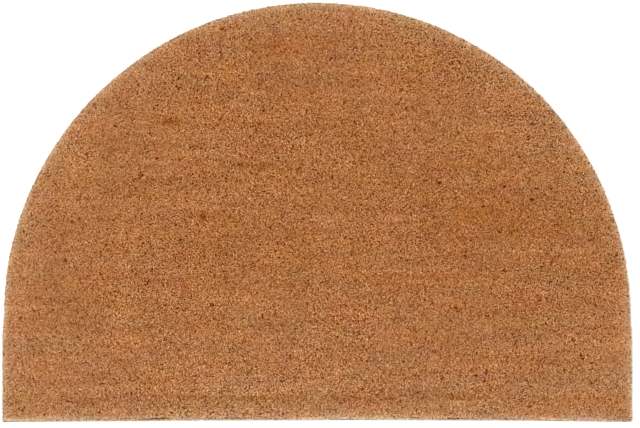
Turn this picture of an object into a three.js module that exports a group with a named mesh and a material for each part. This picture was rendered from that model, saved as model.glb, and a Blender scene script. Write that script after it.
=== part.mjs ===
// Half round doormat: clipped coir pile standing in a vinyl backing.
// Millimetres, +Z up. The mat lies flat on its backing. The origin is at the underside, below the middle of
// the outline's box. The straight edge faces -Y and the crown of the arc faces +Y.
import * as THREE from "three";

// The outline, as the knife cut it
const WIDTH = 750; // along the straight edge, corner to corner
const DEPTH = 500; // from the straight edge to the crown of the arc
const ARC_RADIUS = 373; // a little under half the width, so the sides below the arc stand outside it
const FLARE_LENGTH = 24; // how far below the arc's ends the sides reach the full width
const CORNER_RADIUS = 4; // the two corners are all but sharp
const EDGE_BOW = 2.2; // how far the straight edge draws in at its middle
const EDGE_BOW_LEAN = 0.3; // the share by which it draws in more to the right of the middle than to the left
const OUTLINE_STEP = 12; // longest step along the outline
const CORNER_STEPS = 4;

// Where the knife wandered off the arc: at which angle from +X and over how wide an angle, both in degrees,
// and how far outwards
const CUT_WANDER = [
  { at: 46, over: 13, out: 0.8 },
  { at: 134, over: 16, out: -0.7 },
  { at: 168, over: 6, out: 0.4 },
];

// The two layers, from the floor up
const BACKING_THICKNESS = 2.5;
const BACKING_CHAMFER = 0.5; // the knife leaves the vinyl's upper and lower edges slightly eased
const LAYER_GAP = 0.3;
const MAT_THICKNESS = 16; // from the underside to the highest fibre tips

// The pile's rim, from its root up: how far in from the outline, at which share of the pile's height.
// The fibres lean out to the outline above their roots, and the clipping rounds their shoulder.
const PILE_RIM = [
  { height: 0, inset: 1.6 },
  { height: 0.45, inset: 0.3 },
  { height: 0.78, inset: 0 },
  { height: 0.93, inset: 1 },
  { height: 1, inset: 3 },
];
const RIM_RAGGEDNESS = 0.45; // how far single clumps of the rim stand back from the outline
const RIM_CLUMP = 31; // length of rim between two clumps that stand out

// Rings of the pile's face between the rim and the middle, as shares of the rim's distance from the middle
const FACE_RINGS = [0.97, 0.9, 0.81, 0.71, 0.6, 0.48, 0.35, 0.2];

// Low swells that the clipping leaves in the face. The first two run across the mat, as its streaks do.
const FACE_SWELLS = [
  { lengthX: 620, lengthY: 96, depth: 0.3, phase: 0.4 },
  { lengthX: -410, lengthY: 61, depth: 0.2, phase: 2.1 },
  { lengthX: 173, lengthY: -240, depth: 0.2, phase: 4.4 },
];

const coirMaterial = new THREE.MeshStandardMaterial({ color: 0xad7244, roughness: 0.95, metalness: 0 });
const vinylMaterial = new THREE.MeshStandardMaterial({ color: 0x8f7f69, roughness: 0.7, metalness: 0 });

// How far outside the true arc the knife cut, at an angle in degrees.
function wanderAt(angle) {
  return CUT_WANDER.reduce((out, wander) => {
    const away = (angle - wander.at) / wander.over;
    return out + wander.out * Math.exp(-away * away);
  }, 0);
}

// The cut outline as a closed list of points, anticlockwise from the left end of the straight edge.
function cutOutline() {
  const right = WIDTH / 2;
  const bottom = -DEPTH / 2;
  const arcCentre = new THREE.Vector2(0, DEPTH / 2 - ARC_RADIUS);
  const flareY = arcCentre.y - FLARE_LENGTH;
  const cornerX = right - CORNER_RADIUS;
  const cornerY = bottom + CORNER_RADIUS;
  // A cubic curve is pulled three quarters of the way to the height of its two inner points
  const bowLeft = bottom + (4 / 3) * EDGE_BOW * (1 - EDGE_BOW_LEAN);
  const bowRight = bottom + (4 / 3) * EDGE_BOW * (1 + EDGE_BOW_LEAN);
  const path = new THREE.Path();
  path.moveTo(-cornerX, bottom);
  path.bezierCurveTo(-cornerX / 3, bowLeft, cornerX / 3, bowRight, cornerX, bottom);
  path.absarc(cornerX, cornerY, CORNER_RADIUS, -Math.PI / 2, 0);
  path.lineTo(right, flareY);
  path.lineTo(ARC_RADIUS, arcCentre.y);
  path.absarc(arcCentre.x, arcCentre.y, ARC_RADIUS, 0, Math.PI);
  path.lineTo(-right, flareY);
  path.lineTo(-right, cornerY);
  path.absarc(-cornerX, cornerY, CORNER_RADIUS, Math.PI, 1.5 * Math.PI);
  const points = [];
  for (const curve of path.curves) {
    const evenSteps = 2 * Math.ceil(curve.getLength() / OUTLINE_STEP / 2);
    const steps = Math.max(evenSteps, CORNER_STEPS);
    points.push(...curve.getSpacedPoints(steps).slice(0, steps));
  }
  return points.map((point) => {
    if (point.y <= arcCentre.y) return point;
    const reach = point.clone().sub(arcCentre);
    const angle = THREE.MathUtils.radToDeg(reach.angle());
    return reach.setLength(ARC_RADIUS + wanderAt(angle)).add(arcCentre);
  });
}

// The outline moved inwards by a distance for each point, square to the edge there.
function insetOutline(outline, insetAt) {
  return outline.map((point, i) => {
    const before = outline.at(i - 1);
    const after = outline[(i + 1) % outline.length];
    const along = after.clone().sub(before).normalize();
    const inset = insetAt(i);
    return new THREE.Vector2(point.x - along.y * inset, point.y + along.x * inset);
  });
}

// A closed solid from rings of like length, from its underside up, each a list of Vector3.
// The first and last rings are closed by a fan round a middle point.
function solidFromRings(rings, lowerMiddle, upperMiddle) {
  const count = rings[0].length;
  const positions = [...rings.flat(), lowerMiddle, upperMiddle].flatMap((p) => [p.x, p.y, p.z]);
  const lowerIndex = rings.length * count;
  const upperIndex = lowerIndex + 1;
  const lastRing = (rings.length - 1) * count;
  const index = [];
  for (let i = 0; i < count; i++) {
    const next = (i + 1) % count;
    index.push(lowerIndex, next, i);
    for (let ring = 0; ring < lastRing; ring += count) {
      index.push(ring + i, ring + next, ring + count + next);
      index.push(ring + i, ring + count + next, ring + count + i);
    }
    index.push(lastRing + i, lastRing + next, upperIndex);
  }
  const geometry = new THREE.BufferGeometry();
  geometry.setAttribute("position", new THREE.Float32BufferAttribute(positions, 3));
  geometry.setIndex(index);
  geometry.computeVertexNormals();
  return geometry;
}

// How far the pile's face lies below the highest tips at a place on the mat.
function swellDepth(x, y) {
  return FACE_SWELLS.reduce((depth, swell) => {
    const turn = 2 * Math.PI * (x / swell.lengthX + y / swell.lengthY) + swell.phase;
    return depth + swell.depth * (0.5 + 0.5 * Math.sin(turn));
  }, 0);
}

// The vinyl sheet: flat below and above, with its cut edge eased at both faces.
function backingMesh(outline) {
  const edgeProfile = [
    { z: 0, inset: BACKING_CHAMFER },
    { z: BACKING_CHAMFER, inset: 0 },
    { z: BACKING_THICKNESS - BACKING_CHAMFER, inset: 0 },
    { z: BACKING_THICKNESS, inset: BACKING_CHAMFER },
  ];
  const rings = edgeProfile.map(({ z, inset }) =>
    insetOutline(outline, () => inset).map((p) => new THREE.Vector3(p.x, p.y, z)),
  );
  const lowerMiddle = new THREE.Vector3(0, 0, 0);
  const upperMiddle = new THREE.Vector3(0, 0, BACKING_THICKNESS);
  const mesh = new THREE.Mesh(solidFromRings(rings, lowerMiddle, upperMiddle), vinylMaterial);
  mesh.name = "backing";
  return mesh;
}

// The coir: a ragged rim that leans out to the outline, and a clipped face with low swells.
function pileMesh(outline) {
  const root = BACKING_THICKNESS + LAYER_GAP;
  const pileHeight = MAT_THICKNESS - root;
  const raggedAt = (i) => {
    const along = (i * OUTLINE_STEP * 2 * Math.PI) / RIM_CLUMP;
    return (RIM_RAGGEDNESS * (1 + Math.sin(along) * Math.cos(along / 3.7))) / 2;
  };
  const surfacePoint = (p) => new THREE.Vector3(p.x, p.y, MAT_THICKNESS - swellDepth(p.x, p.y));
  const rimRings = PILE_RIM.map(({ height, inset }) =>
    insetOutline(outline, (i) => inset + raggedAt(i)).map((p) => {
      const sunk = height * swellDepth(p.x, p.y);
      return new THREE.Vector3(p.x, p.y, root + height * pileHeight - sunk);
    }),
  );
  const shoulder = rimRings.at(-1);
  const faceRings = FACE_RINGS.map((share) =>
    shoulder.map((p) => surfacePoint(new THREE.Vector2(p.x * share, p.y * share))),
  );
  const lowerMiddle = new THREE.Vector3(0, 0, root);
  const upperMiddle = surfacePoint(new THREE.Vector2(0, 0));
  const mesh = new THREE.Mesh(
    solidFromRings([...rimRings, ...faceRings], lowerMiddle, upperMiddle),
    coirMaterial,
  );
  mesh.name = "pile";
  return mesh;
}

const outline = cutOutline();
const doormat = new THREE.Group();
doormat.name = "half_round_doormat";
doormat.add(backingMesh(outline), pileMesh(outline));

export default doormat;
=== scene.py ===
# Half round doormat, dressed for its picture: a vinyl sheet with short clipped coir standing in it.
# Metres, +Z up. The straight edge faces -Y and the crown of the arc faces +Y.
import math

import bmesh
import bpy
import numpy as np
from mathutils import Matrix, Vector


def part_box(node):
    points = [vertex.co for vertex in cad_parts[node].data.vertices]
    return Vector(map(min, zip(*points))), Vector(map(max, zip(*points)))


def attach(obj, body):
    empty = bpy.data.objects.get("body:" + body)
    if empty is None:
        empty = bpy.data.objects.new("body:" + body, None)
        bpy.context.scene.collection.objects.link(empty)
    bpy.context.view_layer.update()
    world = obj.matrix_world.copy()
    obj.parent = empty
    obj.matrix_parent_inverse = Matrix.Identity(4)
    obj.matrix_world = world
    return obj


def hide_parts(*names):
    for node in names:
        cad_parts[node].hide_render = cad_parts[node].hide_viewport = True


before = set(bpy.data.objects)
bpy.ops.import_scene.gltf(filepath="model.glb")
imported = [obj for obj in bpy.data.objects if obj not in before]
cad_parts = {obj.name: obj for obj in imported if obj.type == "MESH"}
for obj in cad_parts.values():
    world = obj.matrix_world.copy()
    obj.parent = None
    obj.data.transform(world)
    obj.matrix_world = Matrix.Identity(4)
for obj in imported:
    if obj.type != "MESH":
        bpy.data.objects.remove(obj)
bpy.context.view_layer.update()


# The cut outline
# A knife cuts vinyl and coir together, so every piece of the mat follows this one line: an arc that wanders
# a little, two upright sides just outside it, and a straight edge that draws in at its middle.
mat_low, mat_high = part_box("backing")
half_width = (mat_high[0] - mat_low[0]) / 2
straight_edge_y = mat_low[1]
crown_y = mat_high[1]
side_flare = 0.002  # how far the sides stand outside the arc
flare_length = 0.024  # how far below the arc's ends they reach that
arc_radius = half_width - side_flare
arc_centre_y = crown_y - arc_radius
edge_bow = 0.0022
edge_bow_lean = 0.3  # the share by which it draws in more to the right of the middle than to the left
corner_radius = 0.004
cut_wander = (
    {"at_deg": 46, "over_deg": 13, "out": 0.0008},
    {"at_deg": 134, "over_deg": 16, "out": -0.0007},
    {"at_deg": 168, "over_deg": 6, "out": 0.0004},
)


def arc_reach(x, y):
    """Distance of the cut arc from its centre in the direction of each place."""
    angle = np.degrees(np.arctan2(y - arc_centre_y, x))
    reach = np.full_like(angle, arc_radius)
    for wander in cut_wander:
        reach += wander["out"] * np.exp(-((angle - wander["at_deg"]) / wander["over_deg"]) ** 2)
    return reach


def side_reach(y):
    """Half the mat's width at places below the arc."""
    return arc_radius + side_flare * np.clip((arc_centre_y - y) / flare_length, 0, 1)


def straight_edge(x):
    """Where the straight edge runs, with its bow."""
    share = x / half_width
    return straight_edge_y + edge_bow * (1 - share ** 2) * (1 + edge_bow_lean * share)


def inside_by(x, y):
    """How far places on the mat lie inside the cut edge. Beyond the edge it is negative."""
    to_arc = arc_reach(x, y) - np.hypot(x, y - arc_centre_y)
    to_rim = np.where(y > arc_centre_y, to_arc, side_reach(y) - np.abs(x))
    to_edge = y - straight_edge(x)
    near_corner = (to_rim < corner_radius) & (to_edge < corner_radius)
    to_corner = corner_radius - np.hypot(corner_radius - to_rim, corner_radius - to_edge)
    return np.where(near_corner, to_corner, np.minimum(to_rim, to_edge))


def outline_points(step):
    """Points along the cut edge, anticlockwise from its left corner, and the way out of the mat at each."""
    bottom_x = np.linspace(-half_width, half_width, round(2 * half_width / step), endpoint=False)
    bottom = np.column_stack([bottom_x, straight_edge(bottom_x)])
    side_count = round((arc_centre_y - straight_edge_y) / step)
    side_y = np.linspace(straight_edge_y, arc_centre_y, side_count, endpoint=False)
    right_side = np.column_stack([side_reach(side_y), side_y])
    left_side = np.column_stack([-side_reach(side_y), side_y])[::-1]
    turn = np.linspace(0, math.pi, round(math.pi * arc_radius / step), endpoint=False)
    reach = arc_reach(np.cos(turn), arc_centre_y + np.sin(turn))
    arc = np.column_stack([reach * np.cos(turn), arc_centre_y + reach * np.sin(turn)])
    places = np.vstack([bottom, right_side, arc, left_side])
    along = np.roll(places, -1, axis=0) - np.roll(places, 1, axis=0)
    along /= np.linalg.norm(along, axis=1, keepdims=True)
    way_out = np.column_stack([along[:, 1], -along[:, 0]])
    return places, way_out


# The vinyl backing
# A grey-beige vinyl sheet 2.5 mm thick, poured soft so that the coir sets in it. It is the thin line along
# the cut edge, and its underside carries a fine pebble that keeps the mat from sliding.
backing_top = mat_high[2]
backing_edge_ease = 0.0005
backing_step = 0.006  # between two points of its outline
corner_steps = 5
ease_steps = 2
vinyl_colour = (0.285, 0.215, 0.14, 1)
vinyl_dust_colour = (0.36, 0.285, 0.195, 1)
vinyl_gloss = 0.35
vinyl_rough = {"To Min": 0.55, "To Max": 0.8}
dust_clouds = {"Scale": 26, "Detail": 6}
pebbles = {"Scale": 620}
pebble_bump = {"Strength": 0.5, "Distance": 0.0004}
# Painted shade in the pebble's grooves, and painted light on its crowns
pebble_shade = {"From Max": 0.7, "To Min": 1.05, "To Max": 0.78}  # from a crown to the grooves round it


def add_node(tree, kind, values=None, **settings):
    """A new node of a kind, with its settings, and its inputs set to the values given by their names."""
    node = tree.nodes.new(kind)
    for name, value in settings.items():
        setattr(node, name, value)
    for name, value in (values or {}).items():
        node.inputs[name].default_value = value
    return node


def make_vinyl():
    mat = bpy.data.materials.new("backing vinyl")
    mat.use_nodes = True
    tree, links = mat.node_tree, mat.node_tree.links
    shader = tree.nodes["Principled BSDF"]
    shader.inputs["Specular IOR Level"].default_value = vinyl_gloss
    place = add_node(tree, "ShaderNodeTexCoord")

    # Dust lies on it in clouds
    clouds = add_node(tree, "ShaderNodeTexNoise", dust_clouds)
    dusty = add_node(tree, "ShaderNodeMix", {"A": vinyl_colour, "B": vinyl_dust_colour}, data_type="RGBA")
    rough = add_node(tree, "ShaderNodeMapRange", vinyl_rough)
    links.new(place.outputs["Object"], clouds.inputs["Vector"])
    links.new(clouds.outputs["Fac"], dusty.inputs["Factor"])
    links.new(clouds.outputs["Fac"], rough.inputs["Value"])
    links.new(rough.outputs["Result"], shader.inputs["Roughness"])

    # Painted shade: the pebble is darker in its grooves, and painted light makes it a little lighter on its
    # crowns
    pebble = add_node(tree, "ShaderNodeTexVoronoi", pebbles)
    grooves = add_node(tree, "ShaderNodeMapRange", pebble_shade)
    painted_groove_shade = add_node(tree, "ShaderNodeVectorMath", operation="SCALE")
    bump = add_node(tree, "ShaderNodeBump", pebble_bump)
    links.new(place.outputs["Object"], pebble.inputs["Vector"])
    links.new(pebble.outputs["Distance"], grooves.inputs["Value"])
    links.new(dusty.outputs["Result"], painted_groove_shade.inputs[0])
    links.new(grooves.outputs["Result"], painted_groove_shade.inputs["Scale"])
    links.new(painted_groove_shade.outputs["Vector"], shader.inputs["Base Color"])
    links.new(pebble.outputs["Distance"], bump.inputs["Height"])
    links.new(bump.outputs["Normal"], shader.inputs["Normal"])
    return mat


def make_backing():
    places, _ = outline_points(backing_step)
    bm = bmesh.new()
    lower_face = bm.faces.new([bm.verts.new((x, y, 0)) for x, y in places])
    lower_face.normal_flip()
    low_enough = straight_edge_y + backing_step / 2
    wide_enough = half_width - backing_step / 2
    corners = [v for v in bm.verts if v.co.y < low_enough and abs(v.co.x) > wide_enough]
    bmesh.ops.bevel(
        bm, geom=corners, offset=corner_radius, affect="VERTICES",
        segments=corner_steps, profile=0.5, material=-1,
    )
    raised = bmesh.ops.extrude_face_region(bm, geom=bm.faces[:], use_keep_orig=True)
    upper = [e for e in raised["geom"] if isinstance(e, bmesh.types.BMVert)]
    bmesh.ops.translate(bm, verts=upper, vec=(0, 0, backing_top))
    bmesh.ops.recalc_face_normals(bm, faces=bm.faces[:])
    level_edges = [e for e in bm.edges if e.verts[0].co.z == e.verts[1].co.z]
    bmesh.ops.bevel(
        bm, geom=level_edges, offset=backing_edge_ease, affect="EDGES",
        segments=ease_steps, profile=0.5, material=-1,
    )
    mesh = bpy.data.meshes.new("vinyl_backing")
    bm.to_mesh(mesh)
    bm.free()
    return mesh


backing = bpy.data.objects.new("vinyl_backing", make_backing())
bpy.context.collection.objects.link(backing)
backing.data.materials.append(make_vinyl())
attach(backing, "root")
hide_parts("backing")


# The coir and its colour
# Coir is the brown husk fibre of the coconut. No two fibres have one tone: most are tan, some are straw
# or red-brown. A cut end is paler than the side below it, which painted shade darkens towards its root.
coir_tones = (  # from the darkest fibre to the palest
    {"at": 0, "colour": (0.295, 0.068, 0.001, 1)},
    {"at": 0.25, "colour": (0.355, 0.115, 0.009, 1)},
    {"at": 0.5, "colour": (0.442, 0.174, 0.0475, 1)},
    {"at": 0.85, "colour": (0.59, 0.315, 0.157, 1)},
    {"at": 1, "colour": (0.71, 0.425, 0.23, 1)},
)
coir_straw = (0.75, 0.58, 0.34, 1)
coir_dust_and_light = (0.82, 0.71, 0.55, 1)
# Painted shade: a fibre's colour is multiplied by coir_root_shade at its root, thinning to coir_end_shade
# at its cut end
coir_root_shade = (0.45, 0.20, 0.03, 1)
coir_end_shade = (1, 1, 1, 1)
coir_shade_ends = {"From Min": 0.25, "From Max": 1}  # shares of a fibre's height
coir_rough = {"To Min": 0.7, "To Max": 0.95}
coir_gloss = 0
coir_noise = {"Scale": 1, "Detail": 2}
coir_grain = (2600, 2600, 260)  # cells of noise to a metre along X, Y and Z
coir_grain_bump = {"Strength": 0.5, "Distance": 0.0003}

# Slow changes of tint over the mat. cells is how many there are to a metre along X, Y and Z, and swing is
# how far red, green and blue go up at one end of the change and down at the other.
coir_tints = (
    {"cells": (13, 42, 1), "swing": (-0.038, 0, 0.10)},  # orange patches and greyish ones
    {"cells": (15, 34, 1), "swing": (0.035, -0.018, 0.025)},  # olive patches and reddish ones
    {"cells": (17, 21, 1), "swing": (0.035, 0.045, 0.055)},  # clouds
    {"cells": (5, 56, 1), "swing": (0.06, 0.088, 0.106)},  # long streaks across the mat
    {"cells": (11, 145, 1), "swing": (0.043, 0.057, 0.072)},  # thin streaks across it
    {"cells": (50, 5, 1), "swing": (0.03, 0.044, 0.054)},  # faint streaks up it
)
tint_ends = {"From Min": 0.3, "From Max": 0.7}  # the noise seldom goes beyond these


def add_tint(group, place, colour, tint):
    """One slow change of tint laid over a colour. place, colour and what it gives back are outputs."""
    less = [1 - swing for swing in tint["swing"]] + [1]
    more = [1 + swing for swing in tint["swing"]] + [1]
    stretch = add_node(group, "ShaderNodeMapping", {"Scale": tint["cells"]})
    drift = add_node(group, "ShaderNodeTexNoise", coir_noise)
    spread = add_node(group, "ShaderNodeMapRange", tint_ends)
    here = add_node(group, "ShaderNodeMix", {"A": less, "B": more}, data_type="RGBA")
    over = add_node(group, "ShaderNodeVectorMath", operation="MULTIPLY")
    group.links.new(place, stretch.inputs["Vector"])
    group.links.new(stretch.outputs["Vector"], drift.inputs["Vector"])
    group.links.new(drift.outputs["Fac"], spread.inputs["Value"])
    group.links.new(spread.outputs["Result"], here.inputs["Factor"])
    group.links.new(colour, over.inputs[0])
    group.links.new(here.outputs["Result"], over.inputs[1])
    return over.outputs["Vector"]


def coir_group():
    """Colour, roughness and height of grain, from a place on the mat and a fibre's own colour attribute."""
    group = bpy.data.node_groups.new("coir fibre", "ShaderNodeTree")
    for name, side, kind in (
        ("Place", "INPUT", "NodeSocketVector"),
        ("Fibre", "INPUT", "NodeSocketColor"),
        ("Colour", "OUTPUT", "NodeSocketColor"),
        ("Roughness", "OUTPUT", "NodeSocketFloat"),
        ("Height", "OUTPUT", "NodeSocketFloat"),
    ):
        group.interface.new_socket(name, in_out=side, socket_type=kind)
    links = group.links
    given = add_node(group, "NodeGroupInput")
    made = add_node(group, "NodeGroupOutput")
    fibre = add_node(group, "ShaderNodeSeparateColor")
    links.new(given.outputs["Fibre"], fibre.inputs["Color"])

    # Red channel: the tone of each fibre
    tone = add_node(group, "ShaderNodeValToRGB")
    stops = tone.color_ramp.elements
    stops.remove(stops[1])
    stops[0].color = coir_tones[0]["colour"]
    for step in coir_tones[1:]:
        stops.new(step["at"]).color = step["colour"]
    links.new(fibre.outputs["Red"], tone.inputs["Fac"])

    # Blue channel: how far it is bleached, to straw at first and to a pale grey where it is most, which is
    # dust and, at the cut edge, painted light
    bleached = add_node(group, "ShaderNodeMix", {"A": coir_straw, "B": coir_dust_and_light}, data_type="RGBA")
    dusty = add_node(group, "ShaderNodeMix", data_type="RGBA")
    links.new(fibre.outputs["Blue"], bleached.inputs["Factor"])
    links.new(fibre.outputs["Blue"], dusty.inputs["Factor"])
    links.new(tone.outputs["Color"], dusty.inputs["A"])
    links.new(bleached.outputs["Result"], dusty.inputs["B"])

    # Green channel: painted shade, from the root, which is in the shade of the other fibres, to the cut end
    climb = add_node(group, "ShaderNodeMapRange", coir_shade_ends)
    shade = add_node(group, "ShaderNodeMix", {"A": coir_root_shade, "B": coir_end_shade}, data_type="RGBA")
    shaded = add_node(group, "ShaderNodeVectorMath", operation="MULTIPLY")
    links.new(fibre.outputs["Green"], climb.inputs["Value"])
    links.new(climb.outputs["Result"], shade.inputs["Factor"])
    links.new(dusty.outputs["Result"], shaded.inputs[0])
    links.new(shade.outputs["Result"], shaded.inputs[1])

    # The slow changes of tint, each laid over the last
    colour = shaded.outputs["Vector"]
    for tint in coir_tints:
        colour = add_tint(group, given.outputs["Place"], colour, tint)
    links.new(colour, made.inputs["Colour"])

    # Fine striations that run up each fibre
    upright = add_node(group, "ShaderNodeMapping", {"Scale": coir_grain})
    grain = add_node(group, "ShaderNodeTexNoise", coir_noise)
    rough = add_node(group, "ShaderNodeMapRange", coir_rough)
    links.new(given.outputs["Place"], upright.inputs["Vector"])
    links.new(upright.outputs["Vector"], grain.inputs["Vector"])
    links.new(grain.outputs["Fac"], made.inputs["Height"])
    links.new(grain.outputs["Fac"], rough.inputs["Value"])
    links.new(rough.outputs["Result"], made.inputs["Roughness"])
    return group


def make_coir():
    mat = bpy.data.materials.new("clipped coir")
    mat.use_nodes = True
    tree, links = mat.node_tree, mat.node_tree.links
    shader = tree.nodes["Principled BSDF"]
    shader.inputs["Specular IOR Level"].default_value = coir_gloss
    place = add_node(tree, "ShaderNodeTexCoord")
    fibre = add_node(tree, "ShaderNodeAttribute", attribute_name="fibre")
    look = add_node(tree, "ShaderNodeGroup", node_tree=coir_group())
    bump = add_node(tree, "ShaderNodeBump", coir_grain_bump)
    links.new(place.outputs["Object"], look.inputs["Place"])
    links.new(fibre.outputs["Color"], look.inputs["Fibre"])
    links.new(look.outputs["Colour"], shader.inputs["Base Color"])
    links.new(look.outputs["Roughness"], shader.inputs["Roughness"])
    links.new(look.outputs["Height"], bump.inputs["Height"])
    links.new(bump.outputs["Normal"], shader.inputs["Normal"])
    return mat


coir = make_coir()


# The bed of the pile
# Between their roots the fibres are packed so tightly that nothing is seen through them. The bed is that
# packed mass, a slab a few millimetres lower than the clipped tips, which the tips stand out of.
pile_low, pile_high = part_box("pile")
pile_root_z = pile_low[2]
face_top = pile_high[2]
bed_depth = 0.0048
bed_inset = (0.0045, 0.0065)  # in from the mat's two sides, and from its straight edge and its crown
# Painted shade: the bed takes the darkest tone at the height of a root, so it shows as the deep shade
# between the fibres
bed_fibre = (0.0, 0.0, 0.0, 1.0)  # tone, height and bleaching, as in each fibre's own colour
same_point = 1e-6


def make_bed():
    """The pile's solid drawn in from its rim and lowered from its face."""
    bm = bmesh.new()
    bm.from_mesh(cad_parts["pile"].data)
    bmesh.ops.remove_doubles(bm, verts=bm.verts[:], dist=same_point)
    shrink_x = 1 - bed_inset[0] / half_width
    shrink_y = 1 - bed_inset[1] / crown_y
    lowered = (face_top - bed_depth - pile_root_z) / (face_top - pile_root_z)
    for v in bm.verts:
        v.co.x *= shrink_x
        v.co.y *= shrink_y
        v.co.z = pile_root_z + (v.co.z - pile_root_z) * lowered
    mesh = bpy.data.meshes.new("coir_bed")
    bm.to_mesh(mesh)
    bm.free()
    colour = mesh.attributes.new("fibre", "FLOAT_COLOR", "POINT")
    colour.data.foreach_set("color", np.tile(bed_fibre, len(mesh.vertices)))
    return mesh


def add_coir(name, mesh):
    piece = bpy.data.objects.new(name, mesh)
    bpy.context.collection.objects.link(piece)
    piece.data.materials.append(coir)
    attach(piece, "root")
    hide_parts("pile")
    return piece


bed = add_coir("coir_bed", make_bed())


# The clipped face
# Slivers of coir stand side by side, lean every way and are clipped level. Each is three-sided and widest
# at its cut end. Some fell short of the blade; the gaps over them, and painted shade on their tone, are the
# mat's dark specks.
face_swells = (
    {"length_x": 0.620, "length_y": 0.096, "depth": 0.0003, "phase": 0.4},
    {"length_x": -0.410, "length_y": 0.061, "depth": 0.0002, "phase": 2.1},
    {"length_x": 0.173, "length_y": -0.240, "depth": 0.0002, "phase": 4.4},
)
face_shoulder = {"reach": 0.003, "drop": 0.0012}


def face_height(x, y):
    """Height of the clipped face: low swells, and a shoulder that falls off at the rim."""
    height = np.full(len(x), face_top)
    for swell in face_swells:
        turn = 2 * math.pi * (x / swell["length_x"] + y / swell["length_y"]) + swell["phase"]
        height -= swell["depth"] * (0.5 + 0.5 * np.sin(turn))
    over_shoulder = np.clip(1 - inside_by(x, y) / face_shoulder["reach"], 0, 1)
    return height - face_shoulder["drop"] * over_shoulder ** 2


def patchwork(x, y, cell, seed):
    """Smooth chance values from 0 to 1 over the mat, alike within about a cell."""
    across = (x - mat_low[0]) / cell[0] + 1
    up = (y - mat_low[1]) / cell[1] + 1
    column, row = across.astype(int), up.astype(int)
    chances = np.random.default_rng(seed).random((row.max() + 3, column.max() + 3))
    right, over = across - column, up - row
    right, over = right * right * (3 - 2 * right), over * over * (3 - 2 * over)
    lower = chances[row, column] * (1 - right) + chances[row, column + 1] * right
    upper = chances[row + 1, column] * (1 - right) + chances[row + 1, column + 1] * right
    return lower * (1 - over) + upper * over


# The coir stands back from the vinyl along the straight edge, and more so at two bare places
edge_setback = {"least": 0.0002, "most": 0.0022, "cell": 0.03}
bare_vinyl = (
    {"x": -0.370, "over": 0.010, "by": 0.0012},
    {"x": 0.033, "over": 0.018, "by": 0.0009},
)


def setback(x):
    """How far the coir stands back from the vinyl along the straight edge."""
    spread = edge_setback["most"] - edge_setback["least"]
    cell = (edge_setback["cell"], 1)
    back = edge_setback["least"] + spread * patchwork(x, np.zeros(len(x)), cell, seed=23)
    for place in bare_vinyl:
        back += place["by"] * np.exp(-((x - place["x"]) / place["over"]) ** 2)
    return back


def inside_coir(x, y):
    """How far places lie inside the outermost fibres."""
    return np.minimum(inside_by(x, y), y - straight_edge(x) - setback(x))


# Where the coir is paler or darker. A tone of 0 is the darkest fibre and 1 the palest, and a reach is how
# far in from the cut edge, or out from the middle of an area, a change thins to about a third.
# Paler towards the cut edge: painted light, where the outermost fibres catch light from the side
rim_paling = (
    {"reach": 0.011, "tone": 0.07},
    {"reach": 0.0017, "tone": 0.36},
)
loom_lines = (  # faint lines that the making left along the straight edge
    {"from_edge": 0.027, "half_width": 0.0034, "tone": -0.11},
    {"from_edge": 0.041, "half_width": 0.005, "tone": 0.03},
)
loom_breaks = {"cell": (0.014, 0.005), "strongest": 3}
uneven_areas = (
    # A duller patch to the right of the middle, and a paler foot: partly the coir's own uneven tone, partly
    # painted shade and painted light
    {"x": 0.215, "y": -0.008, "reach_x": 0.10, "reach_y": 0.042, "tone": -0.055},
    {"x": 0.240, "y": -0.011, "reach_x": 0.08, "reach_y": 0.016, "tone": -0.075},
    {"x": 0.0, "y": -0.172, "reach_x": 0.50, "reach_y": 0.065, "tone": 0.032},
    # Dark streaks across the mat, and two spots
    {"x": -0.175, "y": 0.108, "reach_x": 0.013, "reach_y": 0.004, "tone": -0.40},
    {"x": -0.199, "y": 0.039, "reach_x": 0.055, "reach_y": 0.0035, "tone": -0.14},
    {"x": -0.080, "y": 0.056, "reach_x": 0.030, "reach_y": 0.004, "tone": -0.15},
    {"x": 0.218, "y": 0.056, "reach_x": 0.085, "reach_y": 0.006, "tone": -0.08},
    {"x": 0.162, "y": -0.077, "reach_x": 0.095, "reach_y": 0.004, "tone": -0.09},
    {"x": -0.048, "y": 0.196, "reach_x": 0.050, "reach_y": 0.009, "tone": -0.09},
    {"x": -0.135, "y": -0.005, "reach_x": 0.005, "reach_y": 0.0035, "tone": -0.60},
    {"x": -0.080, "y": -0.064, "reach_x": 0.020, "reach_y": 0.006, "tone": -0.08},
    # The right side darker than the left, and the middle paler than the crown: partly the coir's own uneven
    # tone, partly painted shade and painted light
    {"x": 0.345, "y": -0.020, "reach_x": 0.040, "reach_y": 0.070, "tone": -0.08},
    {"x": -0.345, "y": -0.050, "reach_x": 0.035, "reach_y": 0.070, "tone": 0.035},
    {"x": 0.0, "y": 0.010, "reach_x": 0.30, "reach_y": 0.090, "tone": 0.015},
    {"x": 0.0, "y": 0.190, "reach_x": 0.30, "reach_y": 0.080, "tone": -0.022},
)


def paler_by(x, y):
    """How much paler than usual the fibres are: at the cut edge, on loom lines and in uneven areas."""
    depth = np.maximum(inside_coir(x, y), 0)
    tone = np.zeros(len(x))
    for paling in rim_paling:
        tone += paling["tone"] * np.exp(-depth / paling["reach"])
    strength = loom_breaks["strongest"] * patchwork(x, y, loom_breaks["cell"], seed=25) ** 2
    for line in loom_lines:
        away = (y - straight_edge(x) - line["from_edge"]) / line["half_width"]
        tone += strength * line["tone"] * np.exp(-away ** 2)
    for area in uneven_areas:
        away = np.hypot((x - area["x"]) / area["reach_x"], (y - area["y"]) / area["reach_y"])
        tone += area["tone"] * np.exp(-away ** 2)
    return tone


# Paler cut ends towards the cut edge: dust, and painted light where the outermost fibres catch light from
# the side
rim_dust_and_light = (  # each is the share at the cut edge, and how far in from it that share thins to a third
    {"reach": 0.10, "share": 0.075},
    {"reach": 0.026, "share": 0.065},
    {"reach": 0.0021, "share": 0.80},
)


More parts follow.
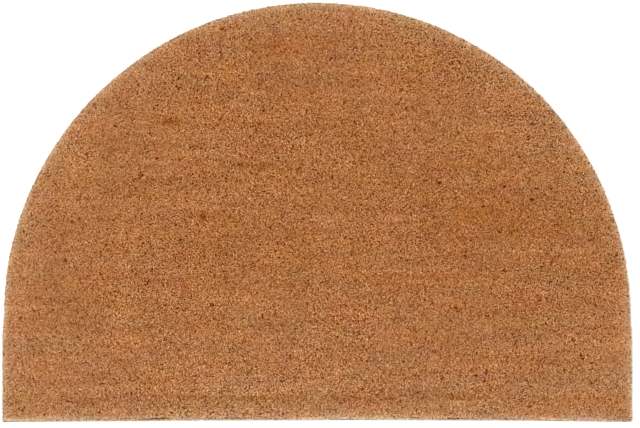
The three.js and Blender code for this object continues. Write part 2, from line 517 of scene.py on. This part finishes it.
def dust_and_light_at(x, y):
    """How far the fibres' cut ends are paled, by dust and by painted light, most of all at the cut edge."""
    depth = np.maximum(inside_coir(x, y), 0)
    return sum(dust["share"] * np.exp(-depth / dust["reach"]) for dust in rim_dust_and_light)


# Fibres side by side differ most near the straight edge, and least half way up the mat
coarser_foot = {"reach": 0.10, "by": 0.30}
calmer_middle = {"y": 0.0, "reach": 0.06, "by": 0.09}


def contrast_at(x, y):
    """How much fibres side by side differ, over the usual."""
    from_edge = y - straight_edge(x)
    from_middle = y - calmer_middle["y"]
    coarser = coarser_foot["by"] * np.exp(-from_edge / coarser_foot["reach"])
    calmer = calmer_middle["by"] * np.exp(-(from_middle / calmer_middle["reach"]) ** 2)
    return 1 + coarser - calmer


def level_corners(turns):
    """The three corners of each upright strand's section, as ways out from its middle."""
    angle = turns[:, None] + np.arange(3) * 2 * math.pi / 3
    return np.stack([np.cos(angle), np.sin(angle), np.zeros_like(angle)], axis=2)


# A strand's faces on its own square of the map: its sides unrolled below, and its cut end above them
map_margin = 0.04
map_side_pitch = 0.3
map_side_width = 0.28
map_side_height = 0.5
map_cut_end = ((0.06, 0.6), (0.94, 0.6), (0.5, 0.96))
map_name = "OFBake"
bleaching_rise = 4  # bleaching grows with this power of the height on a strand


def strand_faces(rings):
    """The faces of one strand: the points round each, how many they are, and where each lies on the map."""
    points, counts, on_map = [], [], []
    for side in range(3):
        left = map_margin + map_side_pitch * side
        right = left + map_side_width
        for ring in range(rings):
            low = map_margin + map_side_height * ring / rings
            high = map_margin + map_side_height * (ring + 1) / rings
            here, beside = 1 + 3 * ring + side, 1 + 3 * ring + (side + 1) % 3
            if ring == 0:
                points += [0, beside, here]
                counts.append(3)
                on_map += [((left + right) / 2, low), (right, high), (left, high)]
            else:
                points += [here - 3, beside - 3, beside, here]
                counts.append(4)
                on_map += [(left, low), (right, low), (right, high), (left, high)]
    points += [3 * rings - 2, 3 * rings - 1, 3 * rings]
    counts.append(3)
    on_map += map_cut_end
    return points, counts, on_map


def strand_mesh(name, roots, centres, radii, corners, tones, dust):
    """One mesh of three-sided strands. Each starts as a point at its root, runs through its rings and ends
    in a flat cut. centres and radii have a row for each strand and a column for each of its rings.
    So many strands are laid out as arrays, because operators would take minutes over them."""
    count, rings = radii.shape
    rounds = centres[:, :, None, :] + radii[:, :, None, None] * corners[:, None, :, :]
    places = np.concatenate([roots[:, None, :], rounds.reshape(count, 3 * rings, 3)], axis=1)
    points, counts, on_map = strand_faces(rings)
    loops = (np.arange(count)[:, None] * places.shape[1] + points).ravel()
    lengths = np.tile(counts, count)
    mesh = bpy.data.meshes.new(name)
    mesh.vertices.add(places.shape[0] * places.shape[1])
    mesh.vertices.foreach_set("co", places.ravel())
    mesh.loops.add(len(loops))
    mesh.loops.foreach_set("vertex_index", loops)
    mesh.polygons.add(len(lengths))
    mesh.polygons.foreach_set("loop_start", np.concatenate([[0], np.cumsum(lengths)[:-1]]))
    mesh.polygons.foreach_set("loop_total", lengths)
    mesh.update(calc_edges=True)

    height = np.concatenate([[0], np.repeat(np.arange(1, rings + 1) / rings, 3)])
    colours = np.ones((count, 3 * rings + 1, 4))
    colours[..., 0] = tones[:, None]
    colours[..., 1] = height
    colours[..., 2] = dust[:, None] * height ** bleaching_rise
    mesh.attributes.new("fibre", "FLOAT_COLOR", "POINT").data.foreach_set("color", colours.ravel())

    squares = math.ceil(math.sqrt(count))
    square = np.column_stack([np.arange(count) % squares, np.arange(count) // squares])
    uv = (square[:, None, :] + np.array(on_map)[None, :, :]) / squares
    mesh.uv_layers.new(name=map_name).data.foreach_set("uv", uv.ravel())
    return mesh


# The slivers, which are too many for one piece
face_bands = 5
face_spacing = 0.00123
face_turn = math.radians(17)  # their grid is turned, so that none of its rows runs along the mat
rim_depth = 0.0018  # nearer to the cut than this, the rim's bristles take over

sliver_width = (0.0007, 0.0013)  # one side of its section
sliver_root_depth = 0.009
sliver_lean = (0.1, 1.0)  # radians off the upright
sliver_heading = {"cell": (0.0028, 0.0028), "turns": 2, "spread": 1.1}  # neighbours lean much alike
sliver_cramped = 0.1  # the share of its run that a sliver with no room keeps
bent_sliver = {"chance": 0.13, "drop": 0.0018, "run": (0.003, 0.0075), "from_edge": 0.004}

# How short of the face a sliver is cut, as shares of the most, and the painted shade that darkens its tone
# the lower it stands
cut_short = {"most": 0.0018, "usual": 0.25, "spread": 0.262, "clumping": 0.1}
cut_clump = {"cell": (0.0031, 0.0031), "thin_below": 0.13}
# A missed sliver's tone is darkened too, as painted shade, for it stands lowest
missed_sliver = {"short_by": 0.0050, "tone": -0.35, "chance": 0.03, "chance_in_thin": 0.65}
level_rim = {"reach": 0.0026, "share": 0.6}  # the rim is cut more level than the rest
usual_tone = 0.5
tone_spread = 0.088
# Painted shade: a sliver cut shorter stands lower among its neighbours and gets a darker tone
painted_shade_by_shortness = -0.55
unlikeness = 0.6  # the share of its neighbours' mean that each value moves away by
dark_sunk = {"by": 0.006, "most": 0.5}  # how much lower a dark area lies, for a whole step of tone


def unlike_neighbours(values):
    """Chance values on a grid, each moved away from the four beside it, as fibres side by side differ."""
    beside = sum(np.roll(values, step, axis) for step in (-1, 1) for axis in (0, 1)) / 4
    return (values - unlikeness * beside).ravel()


def sliver_grid(chance):
    """Places of the slivers' cut ends, and how far each one's tone and shortness are from the usual."""
    farthest = math.hypot(half_width, straight_edge_y)
    line = np.arange(-farthest, farthest, face_spacing)
    grid = (len(line), len(line))
    shortness = unlike_neighbours(chance.normal(0, cut_short["spread"], grid))
    tones = unlike_neighbours(chance.laplace(0, tone_spread, grid)) + painted_shade_by_shortness * shortness
    across, up = (lines.ravel() for lines in np.meshgrid(line, line))
    across = across + face_spacing * chance.uniform(-0.5, 0.5, len(across))
    up = up + face_spacing * chance.uniform(-0.5, 0.5, len(up))
    x = across * math.cos(face_turn) - up * math.sin(face_turn)
    y = across * math.sin(face_turn) + up * math.cos(face_turn)
    kept = inside_coir(x, y) > rim_depth
    x, y = x[kept], y[kept]
    contrast = contrast_at(x, y)
    return x, y, tones[kept] * contrast, shortness[kept] * contrast


def cut_depths(chance, x, y, shortness, paler):
    """How far below the face each sliver is cut, and which of them the blade missed."""
    clump = patchwork(x, y, cut_clump["cell"], seed=22)
    share = cut_short["usual"] + shortness + cut_short["clumping"] * (clump - 0.5)
    short = cut_short["most"] * np.clip(share, 0, 1)
    thin = clump < cut_clump["thin_below"]
    missed_here = np.where(thin, missed_sliver["chance_in_thin"], missed_sliver["chance"])
    missed = chance.random(len(x)) < missed_here
    short += missed_sliver["short_by"] * missed
    short *= 1 - level_rim["share"] * np.exp(-inside_by(x, y) / level_rim["reach"])
    short += dark_sunk["by"] * np.clip(-paler, 0, dark_sunk["most"])
    return short, missed


def sliver_roots(chance, x, y, tip_z, heading, missed):
    """Where each sliver starts, off to one side below its cut end. Bent ones start close to the face."""
    count = len(x)
    root_z = face_height(x, y) - sliver_root_depth
    run = (tip_z - root_z) * np.tan(chance.uniform(*sliver_lean, count))
    far_in = inside_by(x, y) > bent_sliver["from_edge"]
    bent = (chance.random(count) < bent_sliver["chance"]) & ~missed & far_in
    root_z = np.where(bent, tip_z - bent_sliver["drop"], root_z)
    run = np.where(bent, chance.uniform(*bent_sliver["run"], count), run)

    # A root that would lie in the rim goes to the other side of its cut end, or almost under it where
    # neither side has room
    way_x, way_y = run * np.cos(heading), run * np.sin(heading)
    turned = np.where(inside_by(x - way_x, y - way_y) < rim_depth, -1, 1)
    cramped = inside_by(x - turned * way_x, y - turned * way_y) < rim_depth
    turned = np.where(cramped, sliver_cramped, turned)
    return np.column_stack([x - turned * way_x, y - turned * way_y, root_z])


def clipped_face():
    chance = np.random.default_rng(11)
    x, y, tones, shortness = sliver_grid(chance)
    count = len(x)
    heading = 2 * math.pi * sliver_heading["turns"] * patchwork(x, y, sliver_heading["cell"], seed=21)
    heading += chance.normal(0, sliver_heading["spread"], count)
    paler = paler_by(x, y)
    short, missed = cut_depths(chance, x, y, shortness, paler)
    tip_z = face_height(x, y) - short
    roots = sliver_roots(chance, x, y, tip_z, heading, missed)
    tips = np.column_stack([x, y, tip_z])[:, None, :]
    radii = chance.uniform(*sliver_width, count)[:, None] / math.sqrt(3)
    corners = level_corners(chance.uniform(0, 2 * math.pi, count))
    tones = np.clip(usual_tone + (tones + missed_sliver["tone"] * missed) + paler, 0, 1)
    dust = dust_and_light_at(x, y)
    pieces = []
    for band, part in enumerate(np.array_split(np.arange(count), face_bands), 1):
        name = f"clipped_coir_{band}"
        slivers = [values[part] for values in (roots, tips, radii, corners, tones, dust)]
        pieces.append(add_coir(name, strand_mesh(name, *slivers)))
    return pieces


face = clipped_face()


# The rim
# Along the knife's cut the outermost fibres show their whole length, from the vinyl up. Nothing holds
# them from outside, so they lean out and stand looser than those of the face, and painted light and dust
# make them paler.
rim_spacing = 0.00072
rim_rows = (0.0003, 0.0011, 0.0020)  # how far in from the cut each row stands
rim_row_spread = 0.0004
rim_width = (0.00065, 0.00115)
rim_taper = (0.85, 1, 0.85)  # at the foot, the bend and the cut end
rim_root_z = backing_top - 0.0012  # set in the vinyl
rim_foot_z = backing_top - 0.0001  # where a bristle leaves the vinyl
rim_foot_inset = 0.0006  # farther in than its row
rim_bend = 0.75  # the share of its height at which a bristle bends
rim_bulge = (0, 0.0004)  # how far outwards it bends there
rim_lean = (0, 0.0012)  # how far its cut end leans out past its row
rim_held_back = {"cell": (0.05, 0.05), "by": 0.0005}  # stretches that lean out less
rim_tufts = {"cell": (0.004, 0.004), "by": 0.003, "spread": 0.0007}  # they lean along the cut in tufts
rim_short = 0.0016  # how far below the face the shortest is cut
rim_tone = {"usual": 0.44, "spread": 0.24, "paling": 0.7}
rim_least_setback = 0.5  # the share of the setback that a bristle leaning over the vinyl leaves clear
rim_most_beyond = 0.0012  # how far past the cut a bristle may lean
faces_down = -0.9  # the way out's Y, below which a place is on the straight edge


def rim_bristles():
    chance = np.random.default_rng(12)
    places, out = outline_points(rim_spacing)
    count = len(places)
    on_straight_edge = out[:, 1] < faces_down
    sideways = np.column_stack([-out[:, 1], out[:, 0]])
    held_back = rim_held_back["by"] * patchwork(*places.T, rim_held_back["cell"], seed=26)
    tuft = rim_tufts["by"] * (patchwork(*places.T, rim_tufts["cell"], seed=24) - 0.5)
    roots, feet, bends, tips = [], [], [], []
    for row in rim_rows:
        inset = row + chance.uniform(-rim_row_spread, rim_row_spread, count)
        inset += np.where(on_straight_edge, setback(places[:, 0]), 0)
        lean = chance.uniform(*rim_lean, count) - held_back
        along = tuft + chance.normal(0, rim_tufts["spread"], count)
        foot = places - out * (inset + rim_foot_inset)[:, None]
        tip = places - out * (inset - lean)[:, None] + sideways * along[:, None]
        bulge = chance.uniform(*rim_bulge, count)
        bend = foot + rim_bend * (tip - foot) + out * bulge[:, None]
        tip_z = face_height(*tip.T) - rim_short * chance.random(count) ** 2
        bend_z = backing_top + rim_bend * (tip_z - backing_top)
        roots.append(np.column_stack([foot, np.full(count, rim_root_z)]))
        feet.append(np.column_stack([foot, np.full(count, rim_foot_z)]))
        bends.append(np.column_stack([bend, bend_z]))
        tips.append(np.column_stack([tip, tip_z]))
    centres = np.stack([np.vstack(feet), np.vstack(bends), np.vstack(tips)], axis=1)
    roots = np.vstack(roots)
    x, y = centres[:, 2, 0], centres[:, 2, 1]
    kept = y - straight_edge(x) > rim_least_setback * setback(x)
    kept &= inside_by(x, y) > -rim_most_beyond
    centres, roots, x, y = centres[kept], roots[kept], x[kept], y[kept]
    count = len(x)
    radii = chance.uniform(*rim_width, count)[:, None] * np.array(rim_taper) / math.sqrt(3)
    tones = chance.normal(rim_tone["usual"], rim_tone["spread"], count)
    tones = np.clip(tones + rim_tone["paling"] * paler_by(x, y), 0, 1)
    corners = level_corners(chance.uniform(0, 2 * math.pi, count))
    return strand_mesh("rim_coir", roots, centres, radii, corners, tones, dust_and_light_at(x, y))


rim = add_coir("rim_coir", rim_bristles())


# Loose fibres
# A new coir mat sheds. Thin fibres that the shears cut lie about on its face, held only by their own bends.
loose_count = 1900
loose_length = (0.008, 0.022)
loose_width = (0.00022, 0.0004)
loose_taper = (0.9, 1, 0.5)
loose_bend = 0.35  # radians from one third of a fibre to the next
loose_level = (-0.0002, 0.0005)  # below and above the face
loose_tone = {"usual": 0.7, "spread": 0.25}


def loose_fibres():
    chance = np.random.default_rng(13)
    tries = 3 * loose_count
    x = chance.uniform(mat_low[0], mat_high[0], tries)
    y = chance.uniform(mat_low[1], mat_high[1], tries)
    kept = np.flatnonzero(inside_by(x, y) > loose_length[1])[:loose_count]
    place = np.column_stack([x[kept], y[kept]])
    count = len(place)
    heading = chance.uniform(0, 2 * math.pi, count)
    step = chance.uniform(*loose_length, count) / 3
    bend = chance.normal(0, loose_bend, count)
    points = []
    for thirds_done in range(4):
        level = face_height(*place.T) + chance.uniform(*loose_level, count)
        points.append(np.column_stack([place, level]))
        way = heading + thirds_done * bend
        place = place + step[:, None] * np.column_stack([np.cos(way), np.sin(way)])
    middle_way = heading + 2 * bend
    sideways = np.column_stack([-np.sin(middle_way), np.cos(middle_way), np.zeros(count)])
    angle = chance.uniform(0, 2 * math.pi, count)[:, None] + np.arange(3) * 2 * math.pi / 3
    upwards = np.array((0, 0, 1))
    corners = np.cos(angle)[:, :, None] * sideways[:, None, :] + np.sin(angle)[:, :, None] * upwards
    radii = chance.uniform(*loose_width, count)[:, None] / math.sqrt(3) * np.array(loose_taper)
    tones = np.clip(chance.normal(loose_tone["usual"], loose_tone["spread"], count), 0, 1)
    centres = np.stack(points[1:], axis=1)
    return strand_mesh("loose_coir", points[0], centres, radii, corners, tones, dust_and_light_at(*place.T))


loose = add_coir("loose_coir", loose_fibres())


# The floor
# A plain white studio floor.
floor_reach = 6
floor_white = (0.92, 0.92, 0.92, 1)
floor_rough = 0.9

floor_mesh = bpy.data.meshes.new("studio_floor")
bm = bmesh.new()
bmesh.ops.create_grid(bm, x_segments=1, y_segments=1, size=floor_reach)
bm.to_mesh(floor_mesh)
bm.free()
floor = bpy.data.objects.new("studio_floor", floor_mesh)
bpy.context.collection.objects.link(floor)
floor_paint = bpy.data.materials.new("studio white")
floor_paint.use_nodes = True
floor_shader = floor_paint.node_tree.nodes["Principled BSDF"]
floor_shader.inputs["Base Color"].default_value = floor_white
floor_shader.inputs["Roughness"].default_value = floor_rough
floor.data.materials.append(floor_paint)


# Light and camera
# Soft light from a white room and a large softbox overhead. The camera looks straight down.
room_strength = 1.0
softbox_size = 4.0
softbox_watts = 360
softbox_place = (-1.0, 0.8, 5.2)
photo_width_px = 640
mat_width_px = 628.9  # how wide the mat comes out in the picture
lens_mm = 200
sensor_mm = 36
view_middle = (0.0034, -0.00162)  # the place on the mat at the middle of the picture
widest_z = 0.006  # the height on the mat at which it comes out that wide

world = bpy.data.worlds.new("white room")
world.use_nodes = True
world.node_tree.nodes["Background"].inputs["Color"].default_value = (1, 1, 1, 1)
world.node_tree.nodes["Background"].inputs["Strength"].default_value = room_strength
bpy.context.scene.world = world

softbox_data = bpy.data.lights.new("softbox", "AREA")
softbox_data.shape = "SQUARE"
softbox_data.size = softbox_size
softbox_data.energy = softbox_watts
softbox = bpy.data.objects.new("softbox", softbox_data)
softbox.location = softbox_place
tilt_x = -math.atan2(softbox_place[1], softbox_place[2])
tilt_y = math.atan2(softbox_place[0], softbox_place[2])
softbox.rotation_euler = (tilt_x, tilt_y, 0)
bpy.context.collection.objects.link(softbox)

view_width = 2 * half_width * photo_width_px / mat_width_px
camera_data = bpy.data.cameras.new("camera")
camera_data.lens = lens_mm
camera_data.sensor_width = sensor_mm
camera = bpy.data.objects.new("camera", camera_data)
camera.location = (*view_middle, widest_z + view_width * lens_mm / sensor_mm)
bpy.context.collection.objects.link(camera)
bpy.context.scene.camera = camera
bpy.context.scene.view_settings.view_transform = "Standard"
